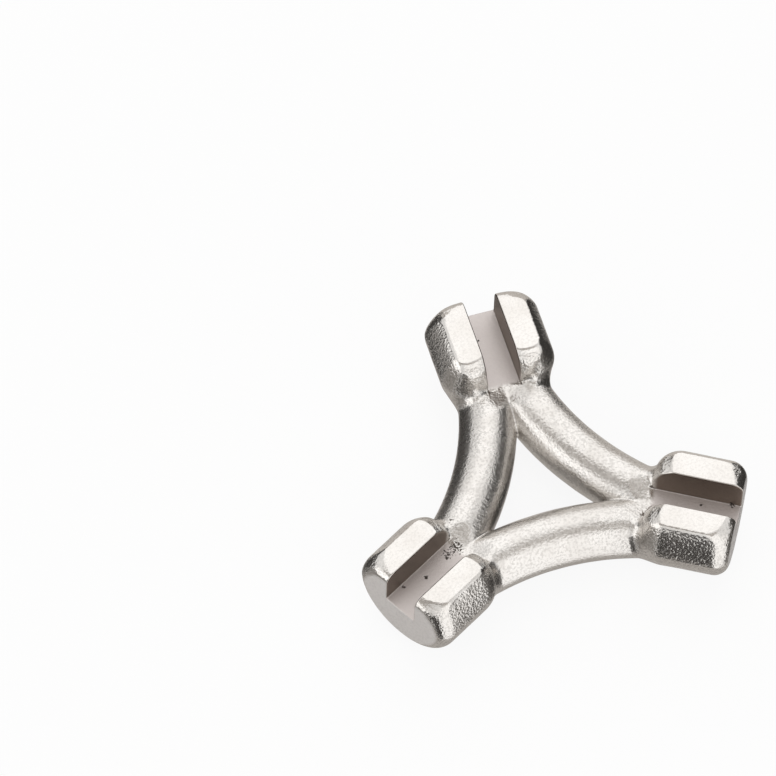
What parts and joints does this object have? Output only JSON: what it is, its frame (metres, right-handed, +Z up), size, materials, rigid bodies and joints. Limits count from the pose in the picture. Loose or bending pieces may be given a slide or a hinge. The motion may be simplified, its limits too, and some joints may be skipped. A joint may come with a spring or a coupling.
{
  "type": "spoke wrench",
  "caption": "Flat triangular hand wrench: round bent arms join slotted heads, each slot sized for one spoke nipple.",
  "frame": {"origin": "middle of the bounding box in X and Y, on the surface that the round backs lie on", "axes": "+Z up from the backs to the jaw tips, +Y out along the small head, +X along the longest side of the box"},
  "size_m": [0.0376, 0.033, 0.0087],
  "materials": {
    "satin_nickel": "satin nickel over blasted cast steel, finely grained, smoother in the slots"
  },
  "bodies": {
    "root": {"small_head": "satin_nickel", "small_left_jaw": "satin_nickel", "small_right_jaw": "satin_nickel", "medium_head": "satin_nickel", "medium_left_jaw": "satin_nickel", "medium_right_jaw": "satin_nickel", "large_head": "satin_nickel", "large_left_jaw": "satin_nickel", "large_right_jaw": "satin_nickel", "small_large_arm": "satin_nickel", "large_medium_arm": "satin_nickel", "medium_small_arm": "satin_nickel"}
  },
  "joints": []
}
